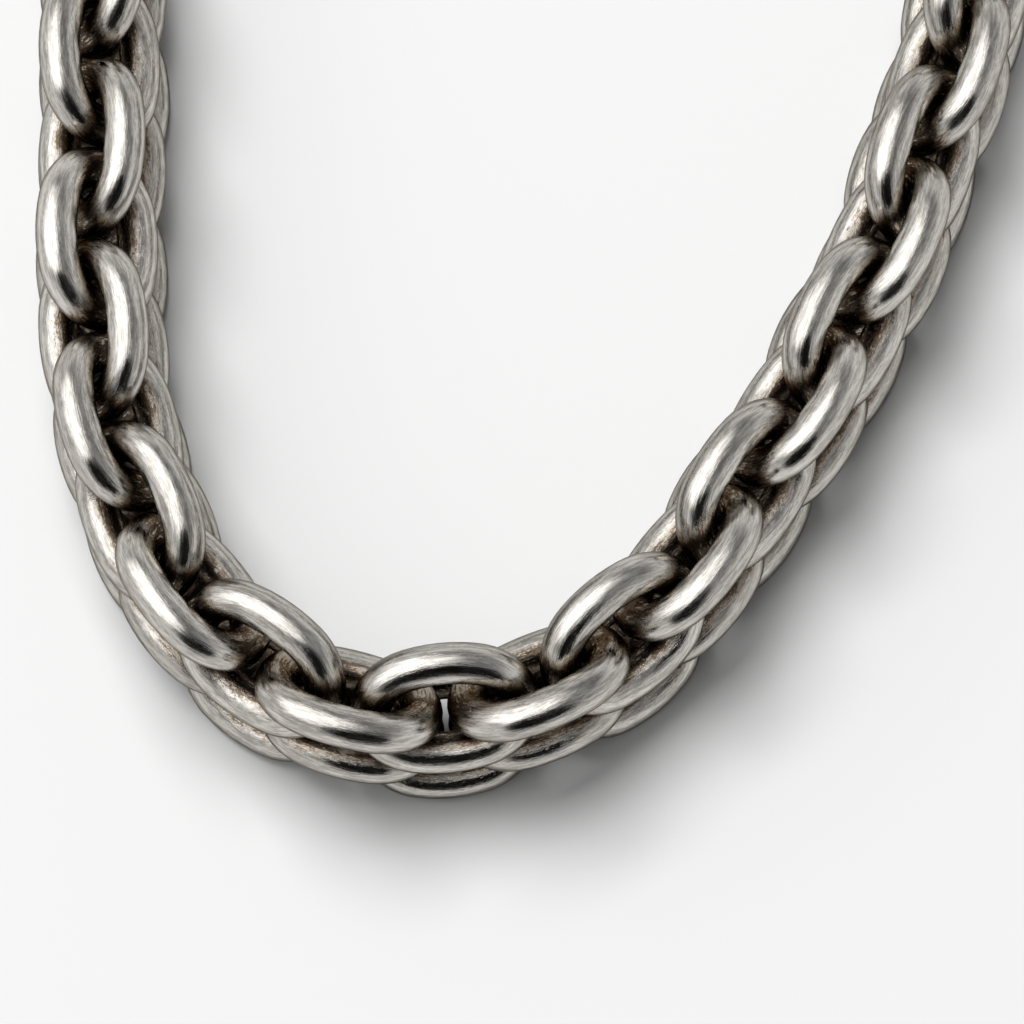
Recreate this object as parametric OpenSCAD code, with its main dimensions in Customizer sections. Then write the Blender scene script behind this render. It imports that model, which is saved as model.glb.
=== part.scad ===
// A necklace of two cable chains, one lying on the other, closed by one plain clasp at the back.
// It lies on a flat surface: +Z up, the bend that hangs in front at -Y, the clasp at +Y.

/* [Wire and links] */
// Diameter of the round wire that every link is bent from
wire_d = 3; // [2.8:0.05:3]
// Radius of the wire's centre line round each end of a link
end_radius = 3.95; // [3.9:0.05:4]
// From the middle of a link to the centre of the arc at each end
end_offset = 1.4; // [1.3:0.1:1.4]

/* [Lie of the links] */
// Lean of the upper chain's links behind, to one side and the other in turn
back_lean = 42; // [40:1:42]
// The same down the left arm, where they are pushed over by the links beside them
left_lean = 49; // [48:1:50]
// The same in the bend
bend_lean = 51; // [50:1:52]
// The same up the right arm
right_lean = 54; // [53:1:55]
// Lean of the lower chain's links
lower_lean = 39; // [38:1:40]
// How far an upper link sits towards its low side behind
back_shift = 0.2; // [0.1:0.05:0.2]
// The same down the left arm
left_shift = 0.3; // [0.2:0.05:0.3]
// The same in the bend
bend_shift = 0.05; // [0:0.05:0.1]
// The same up the right arm
right_shift = 0.2; // [0.1:0.05:0.2]
// How far a lower link sits towards its high side
lower_shift = 0.05; // [0:0.05:0.1]
// Height of the upper chain's centre line over the lower chain's
strand_rise = 8.4; // [8.4:0.05:8.6]

/* [Spacing along the chain] */
// Step from link to link where the chain is pushed together, in the bend and down the left arm
slack_step = 6.95; // [6.9:0.05:7]
// Step from link to link where it is pulled out, up the right arm and behind
drawn_step = 7.05; // [7:0.05:7.1]

/* [Clasp] */
// Thickness of the clasp's body across the necklace
clasp_w = 8; // [7:0.5:9]
// Wire of the loop at each end of the clasp
loop_wire = 1.6; // [1.4:0.1:1.6]

/* [Hidden] */
// Air left between parts that only lie against each other
clear = 0.12;
// Play of an end link on the clasp's loop, and the air from that link to the clasp's body
pin_play = 0.6;
body_gap = 0.3;
// Extra height of the loop's upper arm, which crosses the end link askew on its high side
arm_lift = 1;
// Metal of the clasp's body over and under the loops' arms
arm_cover = 0.15;
// Radius of the loops' corners
loop_bend = 1.45;
// Fineness of the curves: along an arc of wire, round the wire, and round the clasp's body
arc_steps = 72;
wire_steps = 24;
body_steps = 48;

// Stretches of the chain, measured along it from the front of the bend, the left way below zero
LEFT_ARM = [-95, -30];
BEND = [-14, 8];
RIGHT_ARM = [28, 95];
// Where it lies as it does behind, up the left way and up the right
BEHIND = [-120, 130];
// The stretch where the links are pushed together, and how long the step takes to grow past its ends
PUSHED = [-90, 0];
step_ease = 40;

// Places that the chain's centre line passes, anticlockwise from the front of the bend, as [x, y]
ROUTE = [
    [-5, -13.4], [7.6, -8], [18.1, 5.3], [25.9, 18.8], [31.2, 32.4], [35.9, 48.5], [39.6, 67.1], [42.4, 89.8],
    [43, 115], [41, 140], [33, 162], [14, 175.5], [-10, 175.5], [-29, 162], [-37, 140], [-39, 115],
    [-36.8, 90.3], [-33.7, 67], [-31.2, 47.6], [-30.7, 31], [-30.2, 13.9], [-25.7, -1.1], [-16.8, -10.7]
];
// Steps of the centre line from one place to the next
steps = 12;
// Links from the middle of the bend up each arm; an even number, so that both end links lean alike
links_each_way = 30;

// A link is an oval of four arcs: two round its ends and two flatter ones along its sides,
// which bow out past the end arcs by an eighth of the offset, so that all four meet smoothly
bow = 8;
half_l = end_offset + end_radius;
half_w = end_radius + end_offset / bow;
side_drop = end_offset * (bow - 1 / bow) / 2;
side_radius = half_w + side_drop;
side_half = 2 * atan(1 / bow);
end_half = 90 - side_half;

// Heights of the two chains' centre lines; the lower chain lies on the surface
lower_z = wire_d / 2 + half_w * sin(lower_lean);
upper_z = lower_z + strand_rise;
// From an end link's centre to the loop's upright, which lies inside the link's end
pin_reach = half_l - wire_d / 2 - loop_wire / 2 - pin_play;

// The smooth curve through the route's places, from place i to the next as t goes from 0 to 1
function curve(i, t) =
    let (n = len(ROUTE), a = ROUTE[(i + n - 1) % n], b = ROUTE[i])
    let (c = ROUTE[(i + 1) % n], e = ROUTE[(i + 2) % n])
    0.5 * (2 * b + (c - a) * t + (2 * a - 5 * b + 4 * c - e) * t * t + (3 * b - a - 3 * c + e) * t * t * t);

// The centre line as points, the way run at each, and its two coordinates against that way
LINE = [for (i = [0:len(ROUTE) - 1]) for (k = [0:steps - 1]) curve(i, k / steps)];
count = len(LINE);
RUN = [for (i = 0, s = 0; i <= count; s = s + norm(LINE[(i + 1) % count] - LINE[i % count]), i = i + 1) s];
whole = RUN[count];
X_AT = [for (i = [0:count]) [RUN[i], LINE[i % count].x]];
Y_AT = [for (i = [0:count]) [RUN[i], LINE[i % count].y]];

// Where the centre line is, and which way it heads, s along it from the first place
function wrap(s) = s < 0 ? s + whole : s >= whole ? s - whole : s;
function place(s) = [lookup(wrap(s), X_AT), lookup(wrap(s), Y_AT)];
function heading(s) =
    let (v = place(s + half_l / 2) - place(s - half_l / 2))
    atan2(v.y, v.x);

// The step grows from slack to drawn over the foot of the right arm, and again up the left arm
STEP_AT = [
    [PUSHED[0] - step_ease, drawn_step], [PUSHED[0], slack_step],
    [PUSHED[1], slack_step], [PUSHED[1] + step_ease, drawn_step]
];
RIGHT = [for (i = 0, s = 0; i <= links_each_way; s = s + lookup(s, STEP_AT), i = i + 1) s];
LEFT = [for (i = 0, s = 0; i <= links_each_way; s = s - lookup(s, STEP_AT), i = i + 1) s];
STATIONS = concat(
    [for (i = [links_each_way:-1:1]) [-i, LEFT[i]]],
    [for (i = [0:links_each_way]) [i, RIGHT[i]]]
);
// Every second link leans inwards and the ones between lean outwards
function side_of(st) = st[0] % 2 == 0 ? 1 : -1;

// How the upper links lie, by how far along they are, eased from each stretch to the next
function along_chain(back, left, bend, right) = [
    [BEHIND[0], back], [LEFT_ARM[0], left], [LEFT_ARM[1], left], [BEND[0], bend],
    [BEND[1], bend], [RIGHT_ARM[0], right], [RIGHT_ARM[1], right], [BEHIND[1], back]
];
UPPER_LEAN = along_chain(back_lean, left_lean, bend_lean, right_lean);
UPPER_SHIFT = along_chain(-back_shift, -left_shift, -bend_shift, -right_shift);
LOWER_LEAN = along_chain(lower_lean, lower_lean, lower_lean, lower_lean);
LOWER_SHIFT = along_chain(lower_shift, lower_shift, lower_shift, lower_shift);

// How far a link reaches from its centre, for a direction given along and across it
function oval_reach(along, across) =
    let (f = atan2(abs(across), abs(along)))
    norm([along, across])
        * (f < end_half ? end_offset * cos(f) + end_radius : side_radius - side_drop * sin(f));
function link_reach(st, leans, shifts, dir) =
    let (h = heading(st[1]), front = [cos(h), sin(h)], left = [-sin(h), cos(h)])
    let (lean = lookup(st[1], leans), shift = lookup(st[1], shifts))
    place(st[1]) * dir + side_of(st) * shift * (left * dir) + oval_reach(front * dir, left * dir * cos(lean));
// The middle of the outline seen from above, which is the part's own middle
function edge(dir) =
    max([for (st = STATIONS)
        max(link_reach(st, UPPER_LEAN, UPPER_SHIFT, dir), link_reach(st, LOWER_LEAN, LOWER_SHIFT, dir))]);
middle = [edge([1, 0]) - edge([-1, 0]), edge([0, 1]) - edge([0, -1])] / 2;

// The clasp spans what is left between the two end links
pin_right = place(RIGHT[links_each_way] + pin_reach);
pin_left = place(LEFT[links_each_way] - pin_reach);
clasp_mid = (pin_right + pin_left) / 2 - middle;
clasp_span = norm(pin_left - pin_right);
clasp_turn = atan2(pin_left.y - pin_right.y, pin_left.x - pin_right.x);
arm_off = wire_d / 2 + loop_wire / 2 + clear;
arm_top = upper_z + arm_off / cos(back_lean) + arm_lift;
arm_low = lower_z - arm_off / cos(lower_lean);
body_h = arm_top - arm_low + loop_wire + 2 * arm_cover;
body_l = clasp_span - 2 * (wire_d + loop_wire / 2 + pin_play + body_gap);

module arc(radius, half_turn) {
    rotate([0, 0, -half_turn])
        rotate_extrude(angle = 2 * half_turn, $fn = arc_steps)
            translate([radius, 0])
                circle(d = wire_d, $fn = wire_steps);
}

module link() {
    for (turn = [0, 180])
        rotate([0, 0, turn])
            translate([end_offset, 0, 0])
                arc(end_radius, end_half);
    for (turn = [90, 270])
        rotate([0, 0, turn])
            translate([-side_drop, 0, 0])
                arc(side_radius, side_half);
}

module strand(z, leans, shifts) {
    for (st = STATIONS) {
        way = side_of(st);
        lean = lookup(st[1], leans);
        shift = lookup(st[1], shifts);
        spot = place(st[1]) - middle;
        translate([spot.x, spot.y, z])
            rotate([0, 0, heading(st[1])])
                translate([0, way * shift, 0])
                    rotate([way * lean, 0, 0])
                        link();
    }
}

module upper_strand() {
    color([0.78, 0.77, 0.75])
        strand(upper_z, UPPER_LEAN, UPPER_SHIFT);
}

module lower_strand() {
    color([0.70, 0.69, 0.67])
        strand(lower_z, LOWER_LEAN, LOWER_SHIFT);
}

// A closed loop of wire on edge, whose upright passes through the end links of both chains
module end_loop() {
    reach = clasp_span / 2;
    for (z = [arm_top, arm_low])
        translate([0, 0, z])
            rotate([0, 90, 0])
                cylinder(d = loop_wire, h = reach - loop_bend, $fn = wire_steps);
    translate([reach, 0, arm_low + loop_bend])
        cylinder(d = loop_wire, h = arm_top - arm_low - 2 * loop_bend, $fn = wire_steps);
    for (end = [[arm_top - loop_bend, 0], [arm_low + loop_bend, -90]])
        translate([reach - loop_bend, 0, end[0]])
            rotate([90, 0, 0])
                rotate([0, 0, end[1]])
                    rotate_extrude(angle = 90, $fn = arc_steps)
                        translate([loop_bend, 0])
                            circle(d = loop_wire, $fn = wire_steps);
}

module clasp() {
    color([0.74, 0.73, 0.71])
        translate([clasp_mid.x, clasp_mid.y, 0])
            rotate([0, 0, clasp_turn]) {
                translate([-body_l / 2, 0, (arm_top + arm_low) / 2])
                    rotate([0, 90, 0])
                        linear_extrude(body_l)
                            union() {
                                square([body_h - clasp_w, clasp_w], center = true);
                                for (side = [-1, 1])
                                    translate([side * (body_h - clasp_w) / 2, 0])
                                        circle(d = clasp_w, $fn = body_steps);
                            }
                for (turn = [0, 180])
                    rotate([0, 0, turn])
                        end_loop();
            }
}

upper_strand();
lower_strand();
clasp();
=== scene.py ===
import math

import bmesh
import bpy
import numpy as np
from mathutils import Matrix, Vector, noise
from mathutils.bvhtree import BVHTree


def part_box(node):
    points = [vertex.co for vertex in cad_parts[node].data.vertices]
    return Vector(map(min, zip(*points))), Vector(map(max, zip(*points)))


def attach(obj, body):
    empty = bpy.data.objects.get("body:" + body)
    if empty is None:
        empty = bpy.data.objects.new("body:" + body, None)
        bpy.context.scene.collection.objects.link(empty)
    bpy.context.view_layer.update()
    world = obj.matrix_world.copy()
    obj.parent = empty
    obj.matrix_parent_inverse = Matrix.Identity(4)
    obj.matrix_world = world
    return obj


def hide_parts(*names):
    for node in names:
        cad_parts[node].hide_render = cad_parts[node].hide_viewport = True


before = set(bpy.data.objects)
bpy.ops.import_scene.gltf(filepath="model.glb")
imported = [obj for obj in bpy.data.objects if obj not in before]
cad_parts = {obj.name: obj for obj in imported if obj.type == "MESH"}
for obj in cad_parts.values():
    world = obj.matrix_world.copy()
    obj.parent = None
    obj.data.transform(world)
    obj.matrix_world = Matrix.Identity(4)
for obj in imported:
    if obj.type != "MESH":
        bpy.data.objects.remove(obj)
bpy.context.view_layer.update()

# The lower chain, which lies on the table. Each link is a length of round silver wire, 3 mm thick, bent to
# an oval round a former, hung in the link before it and soldered shut, then brushed along its length.
# The joint is filed away and can't be found again.
MM = 0.001

# A link's oval is four arcs, all measured to the middle of the wire. SIDE_DROP is how far past the link's
# middle a side's arc has its centre. SIDE_HALF and END_HALF are half the angles of a side and of an end.
WIRE_R = 1.5 * MM
HALF_LENGTH = 5.35 * MM
HALF_WIDTH = 4.125 * MM
END_R = 3.95 * MM
END_OUT = HALF_LENGTH - END_R
SIDE_DROP = (END_OUT ** 2 - (HALF_WIDTH - END_R) ** 2) / (2 * (HALF_WIDTH - END_R))
SIDE_R = HALF_WIDTH + SIDE_DROP
SIDE_HALF = math.atan2(END_OUT, SIDE_DROP)
END_HALF = math.pi / 2 - SIDE_HALF
WIRE_SIDES = 24
END_STEPS = 21
SIDE_STEPS = 3
ACROSS = (0, 1, 0)
UP = (0, 0, 1)

# Points closer than this are one point, in the drawn link and in the CAD solids.
SEAM = 0.01 * MM
CAD_SEAM = 0.001 * MM


def facing_x(place):
    """Stands a flat circle up at a place, so that it faces along X."""
    return Matrix.Translation(place) @ Matrix.Rotation(math.pi / 2, 4, "Y")


def bend_wire(bm, ring, centre, axis, angle, steps):
    """Draws the wire's end ring on round a centre and returns the new end ring."""
    made = bmesh.ops.spin(bm, geom=ring, cent=centre, axis=axis, dvec=(0, 0, 0), angle=angle,
                          steps=steps, use_merge=False, use_normal_flip=False, use_duplicate=False)
    return made["geom_last"]


def bend_link():
    """The link lying flat, its length along X: four arcs, started at the middle of one side."""
    bm = bmesh.new()
    bmesh.ops.create_circle(bm, cap_ends=False, segments=WIRE_SIDES, radius=WIRE_R,
                            matrix=facing_x((0, HALF_WIDTH, 0)))
    ring = bm.verts[:] + bm.edges[:]
    arcs = [((0, -SIDE_DROP, 0), SIDE_HALF, SIDE_STEPS),
            ((END_OUT, 0, 0), 2 * END_HALF, END_STEPS),
            ((0, SIDE_DROP, 0), 2 * SIDE_HALF, 2 * SIDE_STEPS),
            ((-END_OUT, 0, 0), 2 * END_HALF, END_STEPS),
            ((0, -SIDE_DROP, 0), SIDE_HALF, SIDE_STEPS)]
    for centre, angle, steps in arcs:
        ring = bend_wire(bm, ring, centre, UP, -angle, steps)
    bmesh.ops.remove_doubles(bm, verts=bm.verts[:], dist=SEAM)
    bmesh.ops.recalc_face_normals(bm, faces=bm.faces[:])
    return bm


def wire_place(co):
    """For a point of the flat link: mm along the wire from one tip, outwards of its middle and up."""
    end = math.copysign(END_OUT, co.x)
    turn = math.atan2(abs(co.y), math.copysign(1, co.x) * (co.x - end))
    if turn < END_HALF:
        out = math.hypot(co.x - end, co.y) - END_R
        from_tip = END_R * turn
    else:
        out = math.hypot(co.x, abs(co.y) + SIDE_DROP) - SIDE_R
        swing = math.atan2(abs(co.x), abs(co.y) + SIDE_DROP)
        from_tip = END_R * END_HALF + SIDE_R * (SIDE_HALF - swing)
    half_round = 2 * (END_R * END_HALF + SIDE_R * SIDE_HALF)
    along = from_tip if co.x > 0 else half_round - from_tip
    return math.copysign(along, co.y) / MM, out / MM, co.z / MM


def loose_solids(node):
    """The centre, length axis and width axis of each solid of a CAD node, in order round the necklace."""
    bm = bmesh.new()
    bm.from_mesh(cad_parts[node].data)
    bmesh.ops.remove_doubles(bm, verts=bm.verts[:], dist=CAD_SEAM)
    bm.faces.ensure_lookup_table()
    seen = set()
    places = []
    for start in bm.faces:
        if start.index in seen:
            continue
        island = [start]
        seen.add(start.index)
        for face in island:
            for edge in face.edges:
                for other in edge.link_faces:
                    if other.index not in seen:
                        seen.add(other.index)
                        island.append(other)
        areas = np.array([face.calc_area() for face in island])
        mids = np.array([face.calc_center_median() for face in island])
        centre = areas @ mids / areas.sum()
        spread = (mids - centre).T @ ((mids - centre) * areas[:, None])
        axes = np.linalg.eigh(spread)[1]
        places.append((Vector(centre), Vector(axes[:, 2]), Vector(axes[:, 1])))
    bm.free()
    return sorted(places, key=lambda place: math.atan2(place[0].y, place[0].x))


def whole_necklace():
    """The CAD solids of both chains and the clasp as one tree, to find what shelters a surface."""
    bm = bmesh.new()
    for node in ("upper_strand", "lower_strand", "clasp"):
        bm.from_mesh(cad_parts[node].data)
    tree = BVHTree.FromBMesh(bm)
    bm.free()
    return tree


NECKLACE = whole_necklace()

# A point looks LOOKS ways, each turned on from the last, from SKIN above the surface and as far as REACH.
REACH = 7 * MM
SKIN = 0.12 * MM
LOOKS = 20
GOLDEN_TURN = 2.399963


def shelter(co, normal):
    """How closed in a point is: the share of the ways out of it that meet metal within REACH."""
    side = normal.orthogonal().normalized()
    other = normal.cross(side)
    start = co + normal * SKIN
    met = 0
    for k in range(LOOKS):
        lean = math.sqrt((k + 0.5) / LOOKS)
        turn = k * GOLDEN_TURN
        way = normal * math.sqrt(1 - lean * lean) + (side * math.cos(turn) + other * math.sin(turn)) * lean
        if NECKLACE.ray_cast(start, way, REACH)[0] is not None:
            met += 1
    return met / LOOKS


def finished_piece(bm, name, material):
    """Marks how sheltered each point is, makes the piece and gives it its finish."""
    closed = bm.verts.layers.float.new("shelter")
    bm.normal_update()
    for v in bm.verts:
        v[closed] = shelter(v.co, v.normal)
    for face in bm.faces:
        face.smooth = True
    mesh = bpy.data.meshes.new(name)
    bm.to_mesh(mesh)
    bm.free()
    mesh.materials.append(material)
    piece = bpy.data.objects.new(name, mesh)
    bpy.context.scene.collection.objects.link(piece)
    return piece


# How far the grain moves on from link to link, in mm, and how fast their tone wanders, per metre.
GRAIN_SHIFT = 40
TONE_RATE = 300


def make_chain(name, node, material):
    """All links of one chain in one piece, each where its CAD link is."""
    flat = bend_link()
    lay = [(wire_place(v.co), abs(v.co.x) / (HALF_LENGTH + WIRE_R)) for v in flat.verts]
    template = bpy.data.meshes.new(name + "_link")
    flat.to_mesh(template)
    flat.free()
    bm = bmesh.new()
    grain = bm.verts.layers.float_vector.new("grain")
    tone = bm.verts.layers.float.new("tone")
    tip = bm.verts.layers.float.new("tip")
    for k, (centre, length_way, width_way) in enumerate(loose_solids(node)):
        up_way = length_way.cross(width_way)
        place = Matrix((length_way, width_way, up_way)).transposed().to_4x4()
        place.translation = centre
        first = len(bm.verts)
        bm.from_mesh(template)
        bm.verts.ensure_lookup_table()
        fresh = bm.verts[first:]
        bmesh.ops.transform(bm, matrix=place, verts=fresh)
        link_tone = 0.5 + 0.5 * noise.noise(centre * TONE_RATE)
        for v, ((along, out, up), from_middle) in zip(fresh, lay):
            v[grain] = (along + GRAIN_SHIFT * k, out, up)
            v[tone] = link_tone
            v[tip] = from_middle
    bpy.data.meshes.remove(template)
    return finished_piece(bm, name, material)


class Tone:
    """A value in a finish's node tree, so that sums of values can be written as sums."""

    def __init__(self, tree, socket=None):
        self.tree = tree
        self.socket = socket

    def node(self, kind, inputs, out=0, **settings):
        """Adds a node with its settings set first, then its inputs, and gives one output."""
        made = self.tree.nodes.new(kind)
        for key, value in settings.items():
            setattr(made, key, value)
        for key, value in inputs.items():
            if isinstance(value, Tone):
                self.tree.links.new(value.socket, made.inputs[key])
            else:
                made.inputs[key].default_value = value
        return Tone(self.tree, made.outputs[out])

    def maths(self, operation, a, b):
        return self.node("ShaderNodeMath", {0: a, 1: b}, operation=operation)

    def __add__(self, other):
        return self.maths("ADD", self, other)

    def __radd__(self, other):
        return self.maths("ADD", other, self)

    def __sub__(self, other):
        return self.maths("SUBTRACT", self, other)

    def __rsub__(self, other):
        return self.maths("SUBTRACT", other, self)

    def __mul__(self, other):
        return self.maths("MULTIPLY", self, other)

    def __rmul__(self, other):
        return self.maths("MULTIPLY", other, self)

    def ramp(self, low, high):
        """0 below low, 1 above high and smooth between."""
        return self.node("ShaderNodeMapRange", {"Value": self, "From Min": low, "From Max": high},
                         interpolation_type="SMOOTHSTEP")

    def tint(self, colour_a, colour_b):
        """colour_a where the value is 0 and colour_b where it is 1."""
        return self.node("ShaderNodeMix", {0: self, 6: colour_a, 7: colour_b}, out=2, data_type="RGBA")

    def stretch(self, scale):
        """The vector with each part scaled."""
        return self.node("ShaderNodeVectorMath", {0: self, 1: scale}, operation="MULTIPLY")

    def speckle(self, scale, detail, rough):
        """Noise of about that many spots in a millimetre of the vector."""
        return self.node("ShaderNodeTexNoise", {"Vector": self, "Scale": scale, "Detail": detail,
                                                "Roughness": rough})


# The coats of the finish. GROOVE_SHARE is what a brushed groove keeps of the silver's colour. Each pair says
# how sheltered a point is where a coat begins and where it is full.
GROOVE_SHARE = [0.46, 0.452, 0.437]
HAZED_SILVER = [0.36, 0.305, 0.243, 1.0]
BROWN_TARNISH = [0.14, 0.102, 0.071, 1.0]
BLACK_TARNISH = [0.06, 0.046, 0.034, 1.0]
RUBBED_SILVER = [0.74, 0.67, 0.58, 1.0]
HAZE_FROM, HAZE_FULL = 0.23, 0.48
BROWN_FROM, BROWN_FULL = 0.42, 0.5
BLACK_FROM, BLACK_FULL = 0.58, 0.7
EDGE_TINT = (0.25, 0.24, 0.22, 1)
BRUSHED_ROUGHNESS = 0.15
RELIEF_DEPTH = 0.04 * MM
RELIEF_STRENGTH = 0.6


def silver_finish(name, bright):
    """Satin silver: brushed along the wire, with brown-black tarnish left where a cloth can't reach."""
    material = bpy.data.materials.new(name)
    material.use_nodes = True
    tree = material.node_tree
    surface = tree.nodes["Principled BSDF"]
    kit = Tone(tree)
    grain = kit.node("ShaderNodeAttribute", {}, out="Vector", attribute_name="grain")
    closed = kit.node("ShaderNodeAttribute", {}, out="Fac", attribute_name="shelter")
    tone = kit.node("ShaderNodeAttribute", {}, out="Fac", attribute_name="tone")
    tip = kit.node("ShaderNodeAttribute", {}, out="Fac", attribute_name="tip")

    # The marks, stretched along the wire: fine hairs and long strokes of brushing, pits and clouds of wear.
    hairs = grain.stretch((0.8, 4.4, 4.4)).speckle(scale=1.0, detail=4.0, rough=0.75)
    strokes = grain.stretch((0.2, 2.4, 2.4)).speckle(scale=1.0, detail=5.0, rough=0.65)
    pits = grain.stretch((0.6, 1.0, 1.0)).speckle(scale=4.0, detail=5.0, rough=0.75)
    clouds = grain.speckle(scale=0.45, detail=3.0, rough=0.55)

    # How far the tarnish has come, with crackled edges: a haze, then brown, then black.
    grime = closed + tip.ramp(0.75, 1.0) * 0.1 + (clouds - 0.5) * 0.4
    crackle = (pits - 0.5) * 0.8 + (hairs - 0.5) * 0.9 + (strokes - 0.5) * 0.9
    haze = (grime + crackle * 0.5).ramp(HAZE_FROM, HAZE_FULL)
    tarnish = (grime + crackle).ramp(BROWN_FROM, BROWN_FULL)
    black = (grime + crackle).ramp(BLACK_FROM, BLACK_FULL)

    # The coats one on the other, and last the high spots that rubbing has bared again.
    polish = hairs.ramp(0.38, 0.62) * 0.65 + strokes.ramp(0.34, 0.66) * 0.35 + (tone - 0.5) * 0.3
    grooves = [share * part for share, part in zip(GROOVE_SHARE, bright)]
    satin = polish.tint(grooves + [1.0], bright + [1.0])
    worn = (haze * 0.8).tint(satin, HAZED_SILVER)
    brown = tarnish.tint(worn, BROWN_TARNISH)
    dark = black.tint(brown, BLACK_TARNISH)
    rubbed = hairs.ramp(0.53, 0.6) * pits.ramp(0.48, 0.56)
    colour = (rubbed * haze * 0.7).tint(dark, RUBBED_SILVER)
    rough = BRUSHED_ROUGHNESS + (hairs - 0.5) * 0.3 + (strokes - 0.5) * 0.2 + tarnish * 0.12
    relief = strokes * 0.8 + hairs * 0.8 + pits * (0.05 + 0.9 * haze)
    bump = kit.node("ShaderNodeBump", {"Height": relief, "Strength": RELIEF_STRENGTH,
                                       "Distance": RELIEF_DEPTH})
    tree.links.new(colour.socket, surface.inputs["Base Color"])
    tree.links.new(rough.socket, surface.inputs["Roughness"])
    tree.links.new(bump.socket, surface.inputs["Normal"])
    surface.inputs["Metallic"].default_value = 1.0
    surface.inputs["Specular Tint"].default_value = EDGE_TINT
    return material


# The lower chain's silver is painted darker than the upper one's: partly painted shade, because it lies
# under the upper chain, and partly because it is rubbed less and keeps more tarnish.
LOWER_SHADED_DULLER_SILVER = [0.66, 0.632, 0.586]
lower_silver = silver_finish("lower_silver", LOWER_SHADED_DULLER_SILVER)
lower_chain = make_chain("lower_chain", "lower_strand", lower_silver)
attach(lower_chain, "root")
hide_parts("lower_strand")

# The chain on top. It is the twin of the lower one, made of the same links, and lies on it link on link.
# Its silver is painted lighter than the lower one's: partly painted light, because it lies on top in the
# light, and partly because it gets the rubbing and stays a little cleaner.
UPPER_LIT_CLEANER_SILVER = [0.74, 0.711, 0.665]
upper_silver = silver_finish("upper_silver", UPPER_LIT_CLEANER_SILVER)
upper_chain = make_chain("upper_chain", "upper_strand", upper_silver)
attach(upper_chain, "root")
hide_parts("upper_strand")

# The clasp at the back. It is a plain closed box of sheet silver with rounded long edges, and a loop of
# thinner wire soldered into each end, which passes up through the end links of both chains.
CLASP_SHINE = [0.70, 0.672, 0.626]
BODY_WIDTH = 8 * MM
BODY_SIDES = 48
BODY_CUTS = 16
RIM = 0.7 * MM
RIM_STEPS = 4
LOOP_R = 0.8 * MM
LOOP_BEND = 1.45 * MM
LOOP_SIDES = 16
LOOP_STEPS = 8
ARM_COVER = 0.15 * MM

# Measured on the CAD clasp: its middle and way, how far out its loops bend, how long and high its box is.
clasp_low, clasp_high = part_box("clasp")
clasp_centre, clasp_way, _ = loose_solids("clasp")[0]
cross_way = Vector((-clasp_way.y, clasp_way.x, 0))
from_centre = [v.co - clasp_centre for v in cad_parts["clasp"].data.vertices]
loop_reach = max(abs(way.dot(clasp_way)) for way in from_centre) - LOOP_R
body_ways = [way for way in from_centre if abs(way.dot(cross_way)) > 2 * LOOP_R]
body_length = 2 * max(abs(way.dot(clasp_way)) for way in body_ways)
body_height = clasp_high.z - clasp_low.z
arm_low = clasp_low.z + ARM_COVER + LOOP_R
arm_top = clasp_high.z - ARM_COVER - LOOP_R


def only(kind, parts):
    """The vertices, edges or faces alone, out of a mix of them."""
    return [part for part in parts if isinstance(part, kind)]


def run(edge):
    """How far an edge runs along the clasp."""
    return abs(edge.verts[0].co.x - edge.verts[1].co.x)


def clasp_body():
    """The box along X: an upright oval pushed along, its rims rounded, its sides cut up for the tarnish."""
    bm = bmesh.new()
    turned = facing_x((-body_length / 2, 0, 0)) @ Matrix.Rotation(math.pi / BODY_SIDES, 4, "Z")
    bmesh.ops.create_circle(bm, cap_ends=True, segments=BODY_SIDES, radius=BODY_WIDTH / 2, matrix=turned)
    for half in (-1, 1):
        bmesh.ops.translate(bm, vec=(0, 0, half * (body_height - BODY_WIDTH) / 2),
                            verts=[v for v in bm.verts if v.co.z * half > 0])
    pushed = bmesh.ops.extrude_face_region(bm, geom=bm.faces[:])["geom"]
    bmesh.ops.translate(bm, vec=(body_length, 0, 0), verts=only(bmesh.types.BMVert, pushed))
    rims = [edge for edge in bm.edges if run(edge) < body_length / 2]
    bmesh.ops.bevel(bm, geom=rims, offset=RIM, offset_type="OFFSET", affect="EDGES", segments=RIM_STEPS,
                    profile=0.5, material=-1)
    long_edges = [edge for edge in bm.edges if run(edge) > body_length / 2]
    bmesh.ops.subdivide_edges(bm, edges=long_edges, cuts=BODY_CUTS, use_grid_fill=True)
    bmesh.ops.translate(bm, vec=(0, 0, (arm_top + arm_low) / 2), verts=bm.verts[:])
    return bm


def draw_wire(bm, ring, way):
    """Draws the wire's end ring straight on and returns the new end ring."""
    made = bmesh.ops.extrude_edge_only(bm, edges=only(bmesh.types.BMEdge, ring))["geom"]
    bmesh.ops.translate(bm, vec=way, verts=only(bmesh.types.BMVert, made))
    return only((bmesh.types.BMVert, bmesh.types.BMEdge), made)


def clasp_loop(bm, hand):
    """One end loop: out along the lower arm, up the upright and back along the upper arm."""
    inside = body_length / 2 - RIM
    circle = bmesh.ops.create_circle(bm, cap_ends=False, segments=LOOP_SIDES, radius=LOOP_R,
                                     matrix=facing_x((hand * inside, 0, arm_low)))["verts"]
    ring = circle + list(dict.fromkeys(edge for v in circle for edge in v.link_edges))
    corner = loop_reach - LOOP_BEND
    arm = Vector((hand * (corner - inside), 0, 0))
    rise = Vector((0, 0, (arm_top - arm_low - 2 * LOOP_BEND) / LOOP_STEPS))
    quarter = -hand * math.pi / 2
    ring = draw_wire(bm, ring, arm)
    ring = bend_wire(bm, ring, (hand * corner, 0, arm_low + LOOP_BEND), ACROSS, quarter, LOOP_STEPS)
    for _ in range(LOOP_STEPS):
        ring = draw_wire(bm, ring, rise)
    ring = bend_wire(bm, ring, (hand * corner, 0, arm_top - LOOP_BEND), ACROSS, quarter, LOOP_STEPS)
    draw_wire(bm, ring, -arm)


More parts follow.
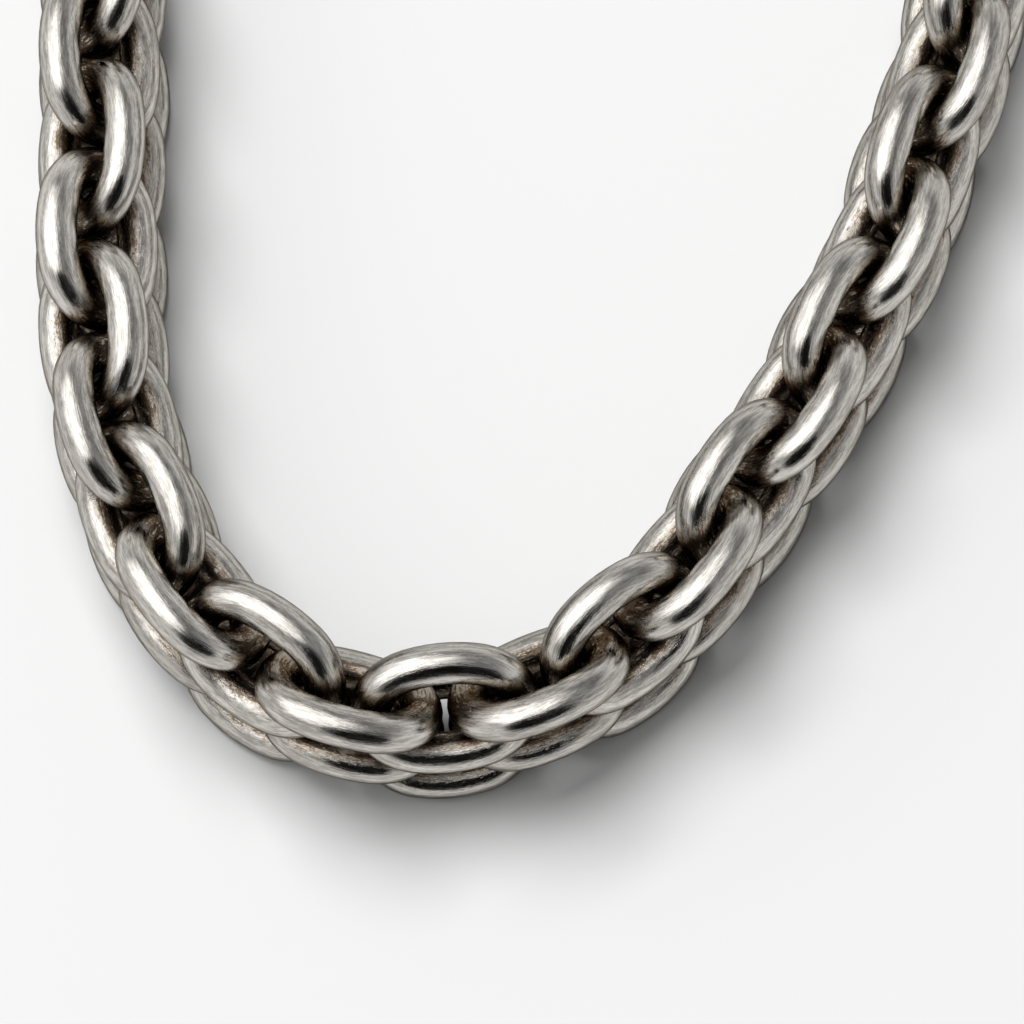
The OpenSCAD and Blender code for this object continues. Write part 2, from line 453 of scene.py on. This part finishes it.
clasp_bm = clasp_body()
for hand in (-1, 1):
    clasp_loop(clasp_bm, hand)
bmesh.ops.recalc_face_normals(clasp_bm, faces=clasp_bm.faces[:])
clasp_grain = clasp_bm.verts.layers.float_vector.new("grain")
clasp_tone = clasp_bm.verts.layers.float.new("tone")
clasp_bm.verts.layers.float.new("tip")
for v in clasp_bm.verts:
    v[clasp_grain] = v.co / MM
    v[clasp_tone] = 0.5
clasp_place = Matrix.Rotation(math.atan2(clasp_way.y, clasp_way.x), 4, "Z")
clasp_place.translation = (clasp_centre.x, clasp_centre.y, 0)
bmesh.ops.transform(clasp_bm, matrix=clasp_place, verts=clasp_bm.verts[:])
clasp_silver = silver_finish("clasp_silver", CLASP_SHINE)
clasp_piece = finished_piece(clasp_bm, "clasp_box", clasp_silver)
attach(clasp_piece, "root")
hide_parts("clasp")

# The table that the necklace lies on, which is no part of it: one wide matt grey sheet, laid at the height
# of the lowest wires.
FLOOR_HALF = 2.0
FLOOR_GREY = (0.36, 0.36, 0.36, 1)
FLOOR_ROUGHNESS = 0.9
floor_bm = bmesh.new()
bmesh.ops.create_grid(floor_bm, x_segments=2, y_segments=2, size=FLOOR_HALF)
floor_mesh = bpy.data.meshes.new("floor")
floor_bm.to_mesh(floor_mesh)
floor_bm.free()
floor = bpy.data.objects.new("floor", floor_mesh)
bpy.context.scene.collection.objects.link(floor)
floor_paint = bpy.data.materials.new("floor_paint")
floor_paint.use_nodes = True
floor_surface = floor_paint.node_tree.nodes["Principled BSDF"]
floor_surface.inputs["Base Color"].default_value = FLOOR_GREY
floor_surface.inputs["Roughness"].default_value = FLOOR_ROUGHNESS
floor_mesh.materials.append(floor_paint)

# The lamp, a square soft box hung high behind the bend, a little to the left, so that the shadow falls to
# the front and the right. It has no reflection of its own: the wires mirror the glow in the room instead.
TARGET = Vector((-2.3, -80.1, 14.9)) * MM
LAMP_WAY = Vector((-0.2, 0.31, 1.0)).normalized()
LAMP_AWAY = 1.0
LAMP_SIDE = 0.5
LAMP_POWER = 20.3
lamp_light = bpy.data.lights.new("softbox", "AREA")
lamp_light.shape = "RECTANGLE"
lamp_light.size = LAMP_SIDE
lamp_light.size_y = LAMP_SIDE
lamp_light.energy = LAMP_POWER
lamp = bpy.data.objects.new("softbox", lamp_light)
lamp.location = TARGET + LAMP_WAY * LAMP_AWAY
lamp.rotation_euler = LAMP_WAY.to_track_quat("Z", "Y").to_euler()
lamp.visible_glossy = False
bpy.context.scene.collection.objects.link(lamp)

# The room that the wires mirror: light walls under a dimmer ceiling, with a soft box glowing over the left
# and a black board in front, which gives the bright bars their black streaks.
GLOW_WAY = Vector((-0.46, 0.105, 0.88)).normalized()
BOARD_WAY = Vector((0.10, -0.78, 0.62)).normalized()
WALL_PAINT = [0.76, 0.76, 0.76, 1]
CEILING_PAINT = [0.29, 0.29, 0.295, 1]
GLOW_LIGHT = [2.3, 2.3, 2.3, 1]
BOARD_BLACK = [0.01, 0.01, 0.01, 1]
WALL_TOP, CEILING_EDGE = 0.3, 0.8
GLOW_EDGE, GLOW_MIDDLE = 0.71, 0.96
BOARD_EDGE, BOARD_MIDDLE = 0.80, 0.90


def toward(look, way):
    """1 where the look goes straight along a way, 0 where it goes across it."""
    return look.node("ShaderNodeVectorMath", {0: look, 1: way}, out="Value", operation="DOT_PRODUCT")


world = bpy.data.worlds.new("studio")
world.use_nodes = True
bpy.context.scene.world = world
look = Tone(world.node_tree).node("ShaderNodeTexCoord", {}, out="Generated")
height = look.node("ShaderNodeSeparateXYZ", {0: look}, out="Z")
walls = height.ramp(WALL_TOP, CEILING_EDGE).tint(WALL_PAINT, CEILING_PAINT)
glow = toward(look, GLOW_WAY).ramp(GLOW_EDGE, GLOW_MIDDLE).tint(walls, GLOW_LIGHT)
room = toward(look, BOARD_WAY).ramp(BOARD_EDGE, BOARD_MIDDLE).tint(glow, BOARD_BLACK)
background = world.node_tree.nodes["Background"]
world.node_tree.links.new(room.socket, background.inputs["Color"])

# The camera, in front of the bend and high above it, with a long lens, so that the bend fills the lower
# part of the picture and both arms run out of it at the top.
ELEVATION = math.radians(76.9)
CAMERA_AWAY = 0.330
CAMERA_WAY = Vector((0, -math.cos(ELEVATION), math.sin(ELEVATION)))
camera_data = bpy.data.cameras.new("camera")
camera_data.sensor_width = 36
camera_data.lens = 163
camera = bpy.data.objects.new("camera", camera_data)
camera.location = TARGET + CAMERA_WAY * CAMERA_AWAY
camera.rotation_euler = (math.pi / 2 - ELEVATION, 0, 0)
bpy.context.scene.collection.objects.link(camera)
bpy.context.scene.camera = camera
bpy.context.scene.view_settings.view_transform = "Standard"
